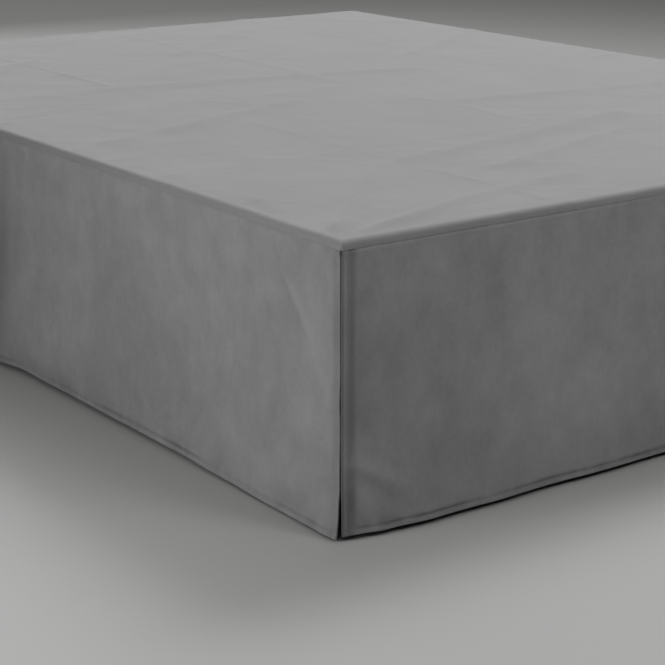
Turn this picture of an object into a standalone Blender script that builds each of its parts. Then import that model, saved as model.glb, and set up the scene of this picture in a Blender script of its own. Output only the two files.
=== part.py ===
"""A tailored bed skirt on a plain bed base.

A flat deck of cloth lies on the base. Three panels hang from its edge to just above the floor: one down
each long side and one across the foot. The two foot corners are split, each long side has an inverted
pleat at mid-length, and the head end is open.

Metres, +Z up. The head of the bed is at +Y and the floor is at Z = 0. A panel is worked out in its own
terms: along (distance from its foot corner), out (distance from the side of the base) and height.
"""
import math
from collections import namedtuple

import bmesh
import bpy
from mathutils import Vector

# Bed base, and the glides that it stands on
BED_WIDTH = 1.500
BED_LENGTH = 2.000
BASE_TOP = 0.410
BASE_EDGE_RADIUS = 0.014
BASE_EDGE_STEPS = 3
GLIDE_HEIGHT = 0.045
GLIDE_TOP_RADIUS = 0.024
GLIDE_FOOT_RADIUS = 0.030
GLIDE_INSET = 0.110
GLIDE_SIDES = 20

# Cloth. The standoff is from the side of the base to the middle of the cloth at the seam.
CLOTH = 0.0015
SEAM_GAP = 0.0003
STANDOFF = 0.0086
RIM_DROP = 0.014
RIM_ROLL_RADIUS = 0.008
RIM_ROLL_STEPS = 3
RIM_CORNER_RADIUS = 0.004
RIM_CORNER_STEPS = 2
ROUND_PROFILE = 0.5
SLIT = 0.0008

# Inverted pleat in the middle of each long side. The cloth beside its mouth dips in a little.
PLEAT_AT = BED_LENGTH / 2
PLEAT_TUCK = 0.055
PLEAT_MOUTH = 0.0020
LAYER_STEP = 0.0026
TURN_STEPS = 4
PLEAT_DIP = 0.007
PLEAT_DIP_WIDTH = 0.040

# Hang. The seam holds the cloth flat, and the swing grows towards the hem. A free edge hangs plumb and
# kicks out only near the floor, so the power is raised by EDGE_POWER there. Cloth at the very back of the
# pleat would take HIDDEN_SWING of the swing of the cloth in front.
HANG_POWER = 1.4
EDGE_POWER = 8.0
EDGE_POWER_REACH = 0.030
SEAM_HOLD = 0.17
HIDDEN_SWING = 0.35
END_REACH = 0.060

# Steps of the cloth's mesh along a panel, and its rows as shares of the height above the hem
FINE_STEP = 0.008
COARSE_STEP = 0.060
STEP_GROWTH = 1.32
ROW_SHARES = (0.0, 0.05, 0.13, 0.25, 0.40, 0.56, 0.72, 0.87, 1.0)

DECK_TOP = BASE_TOP + SEAM_GAP + CLOTH
PANEL_TOP = DECK_TOP - RIM_DROP - SEAM_GAP
FOOT_END_PAST = STANDOFF - CLOTH / 2 - SLIT

# A station is where the hem was sized: how far it swings out, and its height off the floor.
Station = namedtuple("Station", "along hem_out hem_height")

LEFT_STATIONS = (
    Station(0.00, 0.0140, 0.0050),
    Station(0.03, 0.0185, 0.0042),
    Station(0.12, 0.0175, 0.0040),
    Station(0.28, 0.0180, 0.0060),
    Station(0.40, 0.0165, 0.0080),
    Station(0.52, 0.0205, 0.0090),
    Station(0.70, 0.0230, 0.0095),
    Station(0.88, 0.0255, 0.0100),
    Station(0.96, 0.0360, 0.0100),
    Station(1.00, 0.0395, 0.0100),
    Station(1.06, 0.0325, 0.0095),
    Station(1.20, 0.0215, 0.0085),
    Station(1.45, 0.0255, 0.0080),
    Station(1.72, 0.0185, 0.0085),
    Station(2.00, 0.0135, 0.0080),
)
FOOT_STATIONS = (
    Station(0.00, 0.0125, 0.0080),
    Station(0.02, 0.0155, 0.0080),
    Station(0.06, 0.0245, 0.0080),
    Station(0.13, 0.0315, 0.0080),
    Station(0.22, 0.0320, 0.0080),
    Station(0.33, 0.0300, 0.0080),
    Station(0.46, 0.0335, 0.0080),
    Station(0.60, 0.0325, 0.0080),
    Station(0.78, 0.0255, 0.0085),
    Station(0.95, 0.0300, 0.0085),
    Station(1.15, 0.0335, 0.0080),
    Station(1.33, 0.0275, 0.0080),
    Station(1.44, 0.0225, 0.0075),
    Station(1.50, 0.0130, 0.0075),
)
RIGHT_STATIONS = (
    Station(0.00, 0.0135, 0.0070),
    Station(0.04, 0.0180, 0.0070),
    Station(0.18, 0.0205, 0.0075),
    Station(0.36, 0.0165, 0.0080),
    Station(0.58, 0.0230, 0.0085),
    Station(0.80, 0.0205, 0.0090),
    Station(0.94, 0.0325, 0.0100),
    Station(1.00, 0.0395, 0.0100),
    Station(1.05, 0.0345, 0.0095),
    Station(1.22, 0.0225, 0.0085),
    Station(1.50, 0.0200, 0.0080),
    Station(1.78, 0.0240, 0.0085),
    Station(2.00, 0.0140, 0.0080),
)

# A crease is a soft ridge, or with a negative rise a soft trough, between two places on a panel.
Crease = namedtuple("Crease", "from_along from_height to_along to_height rise width")

LEFT_CREASES = (
    Crease(0.128, 0.355, 0.062, 0.270, 0.0030, 0.016),
    Crease(0.062, 0.270, 0.012, 0.190, 0.0024, 0.013),
    Crease(0.092, 0.026, 0.014, 0.075, -0.0022, 0.015),
)
FOOT_CREASES = (
    Crease(0.020, 0.120, 0.100, 0.055, 0.0032, 0.016),
    Crease(0.036, 0.085, 0.082, 0.030, -0.0028, 0.014),
    Crease(0.024, 0.330, 0.018, 0.150, -0.0022, 0.012),
)
RIGHT_CREASES = (
    Crease(0.105, 0.350, 0.020, 0.215, 0.0028, 0.018),
    Crease(1.880, 0.060, 1.970, 0.150, -0.0024, 0.020),
)

# A cut is one panel: where it hangs from, the way it faces and the tables of its folds. hand is 1 where
# along runs with the object's own X, and -1 where it runs back.
Cut = namedtuple("Cut", "length pleated corner turned hand stations creases")

FOOT_LEFT_CORNER = (-BED_WIDTH / 2, -BED_LENGTH / 2, 0.0)
FOOT_RIGHT_CORNER = (BED_WIDTH / 2, -BED_LENGTH / 2, 0.0)
LEFT_CUT = Cut(BED_LENGTH, True, FOOT_LEFT_CORNER, -math.pi / 2, -1, LEFT_STATIONS, LEFT_CREASES)
RIGHT_CUT = Cut(BED_LENGTH, True, FOOT_RIGHT_CORNER, math.pi / 2, 1, RIGHT_STATIONS, RIGHT_CREASES)
FOOT_CUT = Cut(BED_WIDTH, False, FOOT_LEFT_CORNER, 0.0, 1, FOOT_STATIONS, FOOT_CREASES)

# Finishes
Finish = namedtuple("Finish", "name colour roughness sheen")

VELVET = Finish("skirt velvet", (0.135, 0.135, 0.138, 1.0), 0.95, 0.3)
DECK_COTTON = Finish("deck cotton", (0.300, 0.300, 0.300, 1.0), 0.90, 0.0)
BASE_COVER = Finish("base cover", (0.035, 0.035, 0.037, 1.0), 0.90, 0.0)
GLIDE_PLASTIC = Finish("glide plastic", (0.020, 0.020, 0.020, 1.0), 0.50, 0.0)


def clear_scene():
    for item in list(bpy.data.objects):
        bpy.data.objects.remove(item, do_unlink=True)


def material(finish):
    made = bpy.data.materials.new(finish.name)
    made.use_nodes = True
    shader = made.node_tree.nodes["Principled BSDF"]
    shader.inputs["Base Color"].default_value = finish.colour
    shader.inputs["Roughness"].default_value = finish.roughness
    shader.inputs["Metallic"].default_value = 0.0
    shader.inputs["Sheen Weight"].default_value = finish.sheen
    return made


def add_piece(collection, name, bm, look):
    """Turn a bmesh into a named object in the skirt's collection."""
    mesh = bpy.data.meshes.new(name)
    bm.to_mesh(mesh)
    bm.free()
    piece = bpy.data.objects.new(name, mesh)
    collection.objects.link(piece)
    mesh.materials.append(look)
    return piece


def solidify(piece):
    shell = piece.modifiers.new("cloth thickness", "SOLIDIFY")
    shell.thickness = CLOTH
    shell.offset = 0.0
    shell.use_even_offset = True


def ease(share):
    return share * share * (3.0 - 2.0 * share)


def read_station(stations, along):
    """Hem swing and hem height at a distance along a panel, eased from one station to the next."""
    if along <= stations[0].along:
        return stations[0].hem_out, stations[0].hem_height
    for low, high in zip(stations, stations[1:]):
        if along <= high.along:
            share = ease((along - low.along) / (high.along - low.along))
            out = low.hem_out + share * (high.hem_out - low.hem_out)
            height = low.hem_height + share * (high.hem_height - low.hem_height)
            return out, height
    return stations[-1].hem_out, stations[-1].hem_height


def crease_rise(creases, along, height):
    """Sum of the soft ridges and troughs at a place, each a bell across its line."""
    total = 0.0
    for crease in creases:
        start = Vector((crease.from_along, crease.from_height))
        run = Vector((crease.to_along, crease.to_height)) - start
        place = Vector((along, height)) - start
        share = min(max(place.dot(run) / run.length_squared, 0.0), 1.0)
        away = (place - share * run).length
        total += crease.rise * math.exp(-(away / crease.width) ** 2)
    return total


def graded_run(start, end):
    """Places from start to end, closest together at both ends."""
    middle = (start + end) / 2
    places = [start]
    step = FINE_STEP
    while places[-1] + step < middle:
        places.append(places[-1] + step)
        step = min(step * STEP_GROWTH, COARSE_STEP)
    mirrored = [start + end - place for place in reversed(places)]
    if mirrored[0] - places[-1] < FINE_STEP:
        mirrored.pop(0)
    return places + mirrored


def turn(centre, way, depth):
    """Half turn of the cloth from one layer to the next one in, bulging towards way."""
    radius = LAYER_STEP / 2
    steps = [math.pi * index / TURN_STEPS for index in range(1, TURN_STEPS)]
    return [(centre + way * radius * math.sin(angle), depth - radius + radius * math.cos(angle))
            for angle in steps]


def plain_path(length):
    """Route of a flat panel across the foot, seen from above, as (along, depth)."""
    return [(along, STANDOFF) for along in graded_run(0.0, length)]


def pleated_path(length):
    """Route of a long side: in front, round into the pleat, behind it and out again."""
    front, middle, back = STANDOFF, STANDOFF - LAYER_STEP, STANDOFF - 2 * LAYER_STEP
    lip = PLEAT_AT - PLEAT_MOUTH / 2 - CLOTH / 2 - LAYER_STEP / 2
    tuck = PLEAT_AT - PLEAT_TUCK
    half = [(along, front) for along in graded_run(0.0, lip)]
    half += turn(lip, 1, front)
    half += [(lip, middle), ((lip + tuck) / 2, middle), (tuck, middle)]
    half += turn(tuck, -1, middle)
    half += [(tuck, back), ((tuck + PLEAT_AT) / 2, back)]
    other_half = [(length - along, depth) for along, depth in reversed(half)]
    return half + [(PLEAT_AT, back)] + other_half


def pleat_dip(along, fallen):
    """The cloth rolls in beside the pleat, between the seam and the hem."""
    away = (along - PLEAT_AT) / PLEAT_DIP_WIDTH
    return PLEAT_DIP * math.sin(math.pi * fallen) * math.exp(-away * away)


def swing_share(fallen, from_edge):
    """Share of the hem's swing that the cloth has at a share of its fall from the seam."""
    return fallen ** (HANG_POWER + EDGE_POWER * math.exp(-from_edge / EDGE_POWER_REACH))


def swell(along, height, fallen, cut):
    """How far the front of the cloth stands out past its place at the seam."""
    hem_out, _ = read_station(cut.stations, along)
    from_edge = max(min(along, cut.length - along), 0.0)
    rise = (hem_out - STANDOFF) * swing_share(fallen, from_edge)
    rise += crease_rise(cut.creases, along, height) * min(fallen / SEAM_HOLD, 1.0)
    if cut.pleated:
        rise -= pleat_dip(along, fallen)
    return rise


def layer_share(depth):
    """The front layer swings all the way, and the layers tucked behind it swing less."""
    return HIDDEN_SWING + (1.0 - HIDDEN_SWING) * depth / STANDOFF


def hang_panel(collection, name, look, cut, ends):
    """Make one panel as an open sheet on its route, then give it its thickness.

    ends gives, for a share fallen from the seam, how far the first and the last edge stand
    past the ends of the base.
    """
    path = pleated_path(cut.length) if cut.pleated else plain_path(cut.length)
    columns, rows = len(path), len(ROW_SHARES)
    bm = bmesh.new()
    bmesh.ops.create_grid(bm, x_segments=columns - 1, y_segments=rows - 1, size=0.5)
    for vert in bm.verts:
        column = round((vert.co.x + 0.5) * (columns - 1))
        row = round((vert.co.y + 0.5) * (rows - 1))
        along, depth = path[column]
        _, hem_height = read_station(cut.stations, along)
        height = hem_height + ROW_SHARES[row] * (PANEL_TOP - hem_height)
        fallen = 1.0 - ROW_SHARES[row]
        out = depth + swell(along, height, fallen, cut) * layer_share(depth)
        first_past, last_past = ends(fallen)
        along -= first_past * max(0.0, 1.0 - along / END_REACH)
        along += last_past * max(0.0, 1.0 - (cut.length - along) / END_REACH)
        vert.co = Vector((cut.hand * along, -out, height))
    if cut.hand < 0:
        bmesh.ops.reverse_faces(bm, faces=bm.faces)
    piece = add_piece(collection, name, bm, look)
    piece.location = cut.corner
    piece.rotation_euler = (0.0, 0.0, cut.turned)
    solidify(piece)
    for face in piece.data.polygons:
        face.use_smooth = True


def corner_out(station, fallen):
    """Where the cloth hangs at a corner, measured out from the base."""
    return STANDOFF + (station.hem_out - STANDOFF) * swing_share(fallen, 0.0)


def left_ends(fallen):
    """A long side reaches the outer face of the foot panel, and stops level with the base at the head."""
    return corner_out(FOOT_STATIONS[0], fallen) + CLOTH / 2, 0.0


def right_ends(fallen):
    return corner_out(FOOT_STATIONS[-1], fallen) + CLOTH / 2, 0.0


def foot_ends(fallen):
    """Both ends of the foot panel hang plumb, a slit away from the inside of the long sides at the seam."""
    return FOOT_END_PAST, FOOT_END_PAST


def bed_base(collection):
    bm = bmesh.new()
    bmesh.ops.create_cube(bm, size=1.0)
    height = BASE_TOP - GLIDE_HEIGHT
    bmesh.ops.scale(bm, verts=bm.verts, vec=(BED_WIDTH, BED_LENGTH, height))
    piece = add_piece(collection, "bed_base", bm, material(BASE_COVER))
    piece.location = (0.0, 0.0, GLIDE_HEIGHT + height / 2)
    rounding = piece.modifiers.new("rounded edges", "BEVEL")
    rounding.width = BASE_EDGE_RADIUS
    rounding.segments = BASE_EDGE_STEPS


def glides(collection):
    look = material(GLIDE_PLASTIC)
    across = BED_WIDTH / 2 - GLIDE_INSET
    down = BED_LENGTH / 2 - GLIDE_INSET
    places = [(side * across, row * down) for row in (-1, 0, 1) for side in (-1, 1)]
    height = GLIDE_HEIGHT - SEAM_GAP
    for number, (x, y) in enumerate(places, start=1):
        bm = bmesh.new()
        bmesh.ops.create_cone(bm, cap_ends=True, segments=GLIDE_SIDES, radius1=GLIDE_FOOT_RADIUS,
                              radius2=GLIDE_TOP_RADIUS, depth=height)
        piece = add_piece(collection, "glide_%d" % number, bm, look)
        piece.location = (x, y, height / 2)


def deck(collection):
    """Flat cloth with a rim rolled down over both long sides and the foot, and cut level at the head."""
    side = BED_WIDTH / 2 + STANDOFF
    foot = -BED_LENGTH / 2 - STANDOFF
    top = DECK_TOP - CLOTH / 2
    bm = bmesh.new()
    bmesh.ops.create_cube(bm, size=2.0)
    for vert in bm.verts:
        vert.co.x *= side
        vert.co.y = foot if vert.co.y < 0 else BED_LENGTH / 2
        vert.co.z = top if vert.co.z > 0 else DECK_TOP - RIM_DROP
    open_sides = [face for face in bm.faces if face.normal.z < -0.5 or face.normal.y > 0.5]
    bmesh.ops.delete(bm, geom=open_sides, context="FACES")
    corners = [edge for edge in bm.edges if not edge.is_boundary and
               edge.verts[0].co.z != edge.verts[1].co.z]
    bmesh.ops.bevel(bm, geom=corners, offset=RIM_CORNER_RADIUS, segments=RIM_CORNER_STEPS,
                     profile=ROUND_PROFILE, affect="EDGES")
    rolls = [edge for edge in bm.edges if not edge.is_boundary and
             edge.verts[0].co.z > top - CLOTH and edge.verts[1].co.z > top - CLOTH]
    bmesh.ops.bevel(bm, geom=rolls, offset=RIM_ROLL_RADIUS, segments=RIM_ROLL_STEPS,
                     profile=ROUND_PROFILE, affect="EDGES")
    piece = add_piece(collection, "deck", bm, material(DECK_COTTON))
    solidify(piece)


def centre_on_floor(collection):
    """Move every piece so that the middle of the whole object's footprint is the origin."""
    bpy.context.view_layer.update()
    graph = bpy.context.evaluated_depsgraph_get()
    lengths = []
    for piece in collection.objects:
        hung = piece.evaluated_get(graph)
        lengths += [(hung.matrix_world @ vert.co).y for vert in hung.data.vertices]
    middle = (min(lengths) + max(lengths)) / 2
    for piece in collection.objects:
        piece.location.y -= middle


def main():
    clear_scene()
    collection = bpy.data.collections.new("bed_skirt")
    bpy.context.scene.collection.children.link(collection)
    bed_base(collection)
    glides(collection)
    deck(collection)
    velvet = material(VELVET)
    hang_panel(collection, "panel_left", velvet, LEFT_CUT, left_ends)
    hang_panel(collection, "panel_right", velvet, RIGHT_CUT, right_ends)
    hang_panel(collection, "panel_foot", velvet, FOOT_CUT, foot_ends)
    centre_on_floor(collection)


main()
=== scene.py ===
"""Bed skirt on a bed base, in its cloth.

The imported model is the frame. The deck and the three panels of the skirt are made again here as thin
sheets on the same folds, with hems, stitches and small puckers. The base and its glides keep their
shapes and get their finishes. Metres, +Z up, the head of the bed at +Y. A panel is worked out in its
own terms: along (distance from its foot corner), out (distance from the side of the base) and height.
"""
import math
from collections import namedtuple

import bmesh
import bpy
import numpy as np
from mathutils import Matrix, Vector


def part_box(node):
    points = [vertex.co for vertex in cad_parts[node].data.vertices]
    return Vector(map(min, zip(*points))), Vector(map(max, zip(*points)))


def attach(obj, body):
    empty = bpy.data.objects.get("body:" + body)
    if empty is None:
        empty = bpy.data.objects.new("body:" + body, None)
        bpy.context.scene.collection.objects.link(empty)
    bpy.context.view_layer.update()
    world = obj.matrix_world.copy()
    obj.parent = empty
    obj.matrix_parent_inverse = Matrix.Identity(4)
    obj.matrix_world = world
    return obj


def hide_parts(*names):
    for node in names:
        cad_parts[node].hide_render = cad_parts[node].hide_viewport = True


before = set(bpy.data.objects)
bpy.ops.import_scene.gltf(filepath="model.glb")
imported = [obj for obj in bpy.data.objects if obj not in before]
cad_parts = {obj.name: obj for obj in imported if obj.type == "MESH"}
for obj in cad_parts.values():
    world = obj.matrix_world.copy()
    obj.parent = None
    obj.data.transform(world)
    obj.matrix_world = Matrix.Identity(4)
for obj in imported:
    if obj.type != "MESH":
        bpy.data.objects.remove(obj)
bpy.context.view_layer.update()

# What the frame gives
BASE_LOW, BASE_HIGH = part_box("bed_base")
BED_WIDTH = BASE_HIGH.x - BASE_LOW.x
BED_LENGTH = BASE_HIGH.y - BASE_LOW.y
BASE_TOP = BASE_HIGH.z
PANEL_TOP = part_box("panel_foot")[1].z
DECK_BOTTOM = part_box("deck")[0].z

# Cloth of the panels. The standoff is from the side of the base to the middle of the cloth at the seam.
CLOTH = 0.0014
HEM_CLOTH = 0.0024
STANDOFF = 0.0086

# Split foot corners. The foot panel's ends stop short of the corner and kick out at the hem. The long
# panels' first edges stand back behind the foot panel by the gap, which closes only just above the hem.
FOOT_END_SHORT = 0.0021
FOOT_END_KICK = 0.0020
SIDE_END_DRAW = 0.0014
CORNER_GAP = 0.0043
CORNER_GAP_POWER = 10.0

# Hang. The swing grows from the seam to the hem, and a free edge keeps it for the last of its fall.
HANG_POWER = 1.4
EDGE_POWER = 8.0
EDGE_POWER_REACH = 0.030
SEAM_HOLD = 0.17
OPEN_HOLD = 0.25
HIDDEN_SWING = 0.35
END_REACH = 0.060

# Inverted pleat in the middle of each long side
PLEAT_AT = BED_LENGTH / 2
PLEAT_TUCK = 0.055
PLEAT_MOUTH = 0.0020
LAYER_STEP = 0.0026
PLEAT_LIP = PLEAT_AT - PLEAT_MOUTH / 2 - CLOTH / 2 - LAYER_STEP / 2
TURN_STEPS = 6
PLEAT_DIP = 0.010
PLEAT_DIP_WIDTH = 0.025
PLEAT_LAYER_STEPS = 8

# Knots of an uneven line or surface. Some lie past both ends, and a surface has enough for the longest
# panel at its smallest wave.
FIELD_SIZE = (180, 60)
SPARE_KNOTS = 8
LINE_START = 2.0
FIELD_START = 4.0
END_KNOTS = 2.001

# Hems: the stitch line's height over the hem's edge and its distance from a side edge, and what both
# side hems take from the flat cloth
HEM_BAND = 0.0078
SIDE_BAND = 0.0130
HEM_EDGE_ROUND = 0.0006
HEM_LEVELS = 20

# A ridge is a small rise, or with a negative rise a groove, at a distance from a line or an edge.
Ridge = namedtuple("Ridge", "rise at width")

THREAD_GROOVE = Ridge(-0.00080, 0.0, 0.0023)
HEM_SWELL = Ridge(0.00055, 0.0062, 0.0045)
HEM_LIP = Ridge(0.00035, 0.0034, 0.0026)
SIDE_GROOVE = Ridge(-0.00050, SIDE_BAND, 0.0018)
FOLD_ROLL = Ridge(0.0009, 0.0055, 0.0024)
SEAM_ROLL = Ridge(0.0007, 0.0045, 0.0045)
SEAM_TURN = Ridge(-0.0006, 0.0, 0.0016)

# The same for the velvet's darkening, partly pressed pile and partly painted shade, or with a negative rise
# less of it. The foot panel's cut edge gets a painted shadow of the corner's gap, and its fold lip less
# darkening, a painted highlight.
LINE_SHADE_PRESS = Ridge(0.58, 0.0009, 0.0033)
DARK_SPOT_BAND = Ridge(1.0, HEM_BAND + 0.006, 0.014)
FOLD_LIP_LIGHT = Ridge(-0.32, 0.0050, 0.0024)
EDGE_GAP_SHADOW = Ridge(0.40, 0.0, 0.0018)

# A step is level up to its limit, and eased to nought over the fade before it.
Step = namedtuple("Step", "rise limit fade")

HEM_DOUBLE = Step(1.0, HEM_BAND + 0.0014, 0.0012)
SIDE_DOUBLE = Step(1.0, SIDE_BAND + 0.0016, 0.0014)
FOOT_SIDE_STEP = Step(-0.0011, 0.025, 0.011)
LONG_SIDE_STEP = Step(-0.0013, SIDE_BAND, SIDE_BAND)
# Darker over the side hems beside the corners: partly pressed pile, partly painted shade
FOOT_SIDE_SHADE_PRESS = Step(0.42, 0.026, 0.010)
LONG_SIDE_SHADE_PRESS = Step(0.22, SIDE_BAND + 0.0006, 0.0016)

# A wave is uneven between its rise and minus its rise, and turns about every length. On a panel its seed
# is added to the panel's own.
Wave = namedtuple("Wave", "rise length seed")

FINE_PUCKER = Wave(0.6, 0.0105, 0)
BROAD_PUCKER = Wave(0.4, 0.023, 1)
SIDE_PUCKER = Wave(0.00022, 0.013, 2)
FINE_GATHER = Wave(0.00034, 0.016, 3)
BROAD_GATHER = Wave(0.000238, 0.041, 4)
SLOW_ROLL = Wave(0.0008, 0.085, 5)
QUICK_ROLL = Wave(0.00030, 0.034, 6)
CLOUDS = Wave(0.00045, 0.062, 7)
DIMPLES = Wave(0.00013, 0.027, 8)
THREAD_EASE = Wave(0.42, 0.075, 9)
LINE_FADE = Wave(0.18, 0.014, 10)
DARK_SPOT_WAVE = Wave(0.24, 0.050, 11)
LINE_WANDER = Wave(0.0008, 0.17, 12)

# How far the waves of the open cloth lean along the panel for each metre of height
SLOW_LEAN = 0.06
QUICK_LEAN = -0.03
CLOUD_LEAN = 0.1
DIMPLE_LEAN = -0.2
LEAN_HEIGHT = 0.2

# Puckers and darker spots by the hem's stitch line, and gathers under the seam
THREAD_TIGHT = 0.58
DARK_SPOT_SQUEEZE = 2.0
PUCKER_RISE = 0.00062
PUCKER_SLANT = 0.35
PUCKER_LIFT = 0.001
PUCKER_REACH = 0.009
SIDE_PUCKER_REACH = 0.008
GATHER_START = 0.006
GATHER_REACH = 0.022

# Deck. Its flat part ends at its side and its foot, where the rim rolls over.
DECK_CLOTH = 0.0009
DECK_GAP = 0.0004
DECK_ROLL = 0.008
DECK_CORNER = 0.003
DECK_SIDE = BED_WIDTH / 2 + STANDOFF + CLOTH / 2 - DECK_CLOTH / 2 - DECK_ROLL
DECK_FOOT = BASE_LOW.y - STANDOFF - CLOTH / 2 + DECK_CLOTH / 2 + DECK_ROLL
DECK_HEM_BAND = 0.012
DECK_HEM_DOUBLE = Step(1.0, DECK_HEM_BAND + 0.0014, 0.0014)
DECK_EDGE_ROUND = 0.0003

# Waves of the deck. Their seeds are used as they are, and the shifts keep every place on their knots.
DECK_SWELL = Wave(0.0009, 0.13, 71)
DECK_RIPPLE = Wave(0.0005, 0.060, 72)
SIDE_PULL = Wave(0.0011, 0.021, 73)
FOOT_PULL = Wave(0.0011, 0.021, 74)
FOLD_X_EASE = Wave(0.4, 0.19, 75)
FOLD_Y_EASE = Wave(0.4, 0.17, 76)
FOLD_TIGHT = 0.6
DECK_SHIFT = 2.0
DECK_RUN = 5.0
HILL_SHIFT = 1.0
SWELL_SQUEEZE = 0.5
RIM_HOLD = 0.030
RIM_PULL_REACH = 0.030
RIM_PULL_START = 0.006

# Stitches
STITCH_PITCH = 0.0034
STITCH_LENGTH = 0.0027
STITCH_WIDTH = 0.00050
STITCH_HEIGHT = 0.00036
STITCH_STANDOFF = STITCH_HEIGHT * 0.1
STITCH_FULLNESS = 0.8
SIDE_STITCH_START = HEM_BAND + 0.004
SIDE_STITCH_STOP = 0.012
HEM_STITCH_CLEAR = SIDE_BAND * 0.3

# Mesh steps: fine beside an edge and in the hems, coarse in the open cloth
EDGE_STEP = 0.0020
EDGE_HOLD = 0.068
OPEN_STEP = 0.0063
STEP_GROWTH = 1.16
ROW_STEP = 0.0010
ROW_HOLD = 0.013
OPEN_ROW = 0.0068
DECK_STEP = 0.0016
DECK_HOLD = 0.024
DECK_OPEN_STEP = 0.0105
DECK_FOLD_STEPS = (-0.013, -0.008, -0.004, 0.0, 0.004, 0.008, 0.013)
DECK_FOLD_CLEAR = 0.018

# A station is where the hem was sized: how far it swings out, and its height off the floor.
Station = namedtuple("Station", "along hem_out hem_height")

LEFT_STATIONS = (
    Station(0.00, 0.0184, 0.0050),
    Station(0.03, 0.0185, 0.0042),
    Station(0.12, 0.0175, 0.0040),
    Station(0.28, 0.0180, 0.0060),
    Station(0.40, 0.0165, 0.0080),
    Station(0.52, 0.0205, 0.0090),
    Station(0.70, 0.0230, 0.0095),
    Station(0.88, 0.0255, 0.0100),
    Station(0.96, 0.0360, 0.0100),
    Station(1.00, 0.0395, 0.0100),
    Station(1.06, 0.0325, 0.0095),
    Station(1.20, 0.0215, 0.0085),
    Station(1.45, 0.0255, 0.0080),
    Station(1.72, 0.0185, 0.0085),
    Station(2.00, 0.0135, 0.0080),
)
FOOT_STATIONS = (
    Station(0.00, 0.0125, 0.0080),
    Station(0.02, 0.0155, 0.0080),
    Station(0.06, 0.0245, 0.0080),
    Station(0.13, 0.0315, 0.0080),
    Station(0.22, 0.0320, 0.0080),
    Station(0.33, 0.0300, 0.0080),
    Station(0.46, 0.0335, 0.0080),
    Station(0.60, 0.0325, 0.0080),
    Station(0.78, 0.0255, 0.0085),
    Station(0.95, 0.0300, 0.0085),
    Station(1.15, 0.0335, 0.0080),
    Station(1.33, 0.0275, 0.0080),
    Station(1.44, 0.0225, 0.0075),
    Station(1.50, 0.0130, 0.0075),
)
RIGHT_STATIONS = (
    Station(0.00, 0.0148, 0.0070),
    Station(0.04, 0.0180, 0.0070),
    Station(0.18, 0.0205, 0.0075),
    Station(0.36, 0.0165, 0.0080),
    Station(0.58, 0.0230, 0.0085),
    Station(0.80, 0.0205, 0.0090),
    Station(0.94, 0.0325, 0.0100),
    Station(1.00, 0.0395, 0.0100),
    Station(1.05, 0.0345, 0.0095),
    Station(1.22, 0.0225, 0.0085),
    Station(1.50, 0.0200, 0.0080),
    Station(1.78, 0.0240, 0.0085),
    Station(2.00, 0.0140, 0.0080),
)

# Painted highlight on a crease's ridge and painted shade in its trough, partly brushed and pressed pile,
# for each metre of its rise
CREASE_HIGHLIGHT_SHADE = 55.0

# Painted highlight on the crests of the hem's puckers and painted shade in their hollows, partly brushed
# and pressed pile
PUCKER_HIGHLIGHT_SHADE = 0.22

# A crease is a soft ridge, or with a negative rise a soft trough, between two places on a panel.
Crease = namedtuple("Crease", "from_along from_height to_along to_height rise width")

LEFT_CREASES = (
    Crease(0.134, 0.342, 0.122, 0.328, -0.0016, 0.0075),
    Crease(0.122, 0.328, 0.084, 0.284, -0.0029, 0.0075),
    Crease(0.078, 0.277, 0.034, 0.234, -0.0014, 0.0090),
    Crease(0.096, 0.324, 0.052, 0.264, 0.0028, 0.013),
    Crease(0.052, 0.264, 0.012, 0.190, 0.0025, 0.013),
    Crease(0.128, 0.240, 0.150, 0.090, -0.0012, 0.020),
    Crease(0.092, 0.026, 0.014, 0.075, -0.0022, 0.015),
)
FOOT_CREASES = (
    Crease(0.017, 0.106, 0.082, 0.068, 0.0026, 0.011),
    Crease(0.026, 0.086, 0.068, 0.048, -0.0022, 0.010),
    Crease(0.018, 0.072, 0.044, 0.032, 0.0018, 0.010),
    Crease(0.014, 0.066, 0.015, 0.046, -0.0018, 0.008),
    Crease(0.024, 0.330, 0.018, 0.150, -0.0022, 0.012),
    Crease(0.240, 0.300, 0.300, 0.150, -0.0012, 0.022),
)
RIGHT_CREASES = (
    Crease(0.105, 0.350, 0.020, 0.215, 0.0028, 0.018),
    Crease(0.078, 0.340, 0.030, 0.262, -0.0014, 0.008),
    Crease(1.880, 0.060, 1.970, 0.150, -0.0024, 0.020),
)

# Deck creases are low ridges, in the frame's own X and Y.
DECK_CREASES = (
    Crease(-0.745, -0.960, -0.600, -0.790, 0.0071, 0.016),
    Crease(-0.600, -0.790, -0.430, -0.640, 0.0058, 0.020),
    Crease(-0.700, -0.975, -0.470, -0.900, 0.0058, 0.015),
    Crease(-0.470, -0.900, -0.250, -0.860, 0.0044, 0.018),
    Crease(-0.752, -0.800, -0.560, -0.500, 0.0054, 0.019),
    Crease(-0.380, -0.640, 0.180, -0.520, 0.0061, 0.022),
    Crease(-0.300, -0.760, 0.060, -0.640, 0.0048, 0.018),
    Crease(-0.100, -0.960, 0.120, -0.700, 0.0051, 0.016),
    Crease(0.300, -0.900, 0.700, -0.640, 0.0068, 0.021),
    Crease(0.745, -0.950, 0.560, -0.800, 0.0061, 0.016),
    Crease(-0.680, -0.250, -0.200, -0.080, 0.0058, 0.024),
    Crease(0.060, -0.260, 0.560, -0.330, 0.0054, 0.024),
    Crease(-0.420, 0.240, 0.240, 0.120, 0.0058, 0.026),
    Crease(0.380, 0.300, 0.735, 0.520, 0.0058, 0.022),
    Crease(-0.735, 0.420, -0.360, 0.660, 0.0061, 0.023),
    Crease(-0.060, 0.560, 0.300, 0.860, 0.0054, 0.024),
    Crease(-0.640, 0.990, -0.420, 0.780, 0.0051, 0.018),
    Crease(0.500, 0.960, 0.690, 0.760, 0.0051, 0.019),
)

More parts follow.
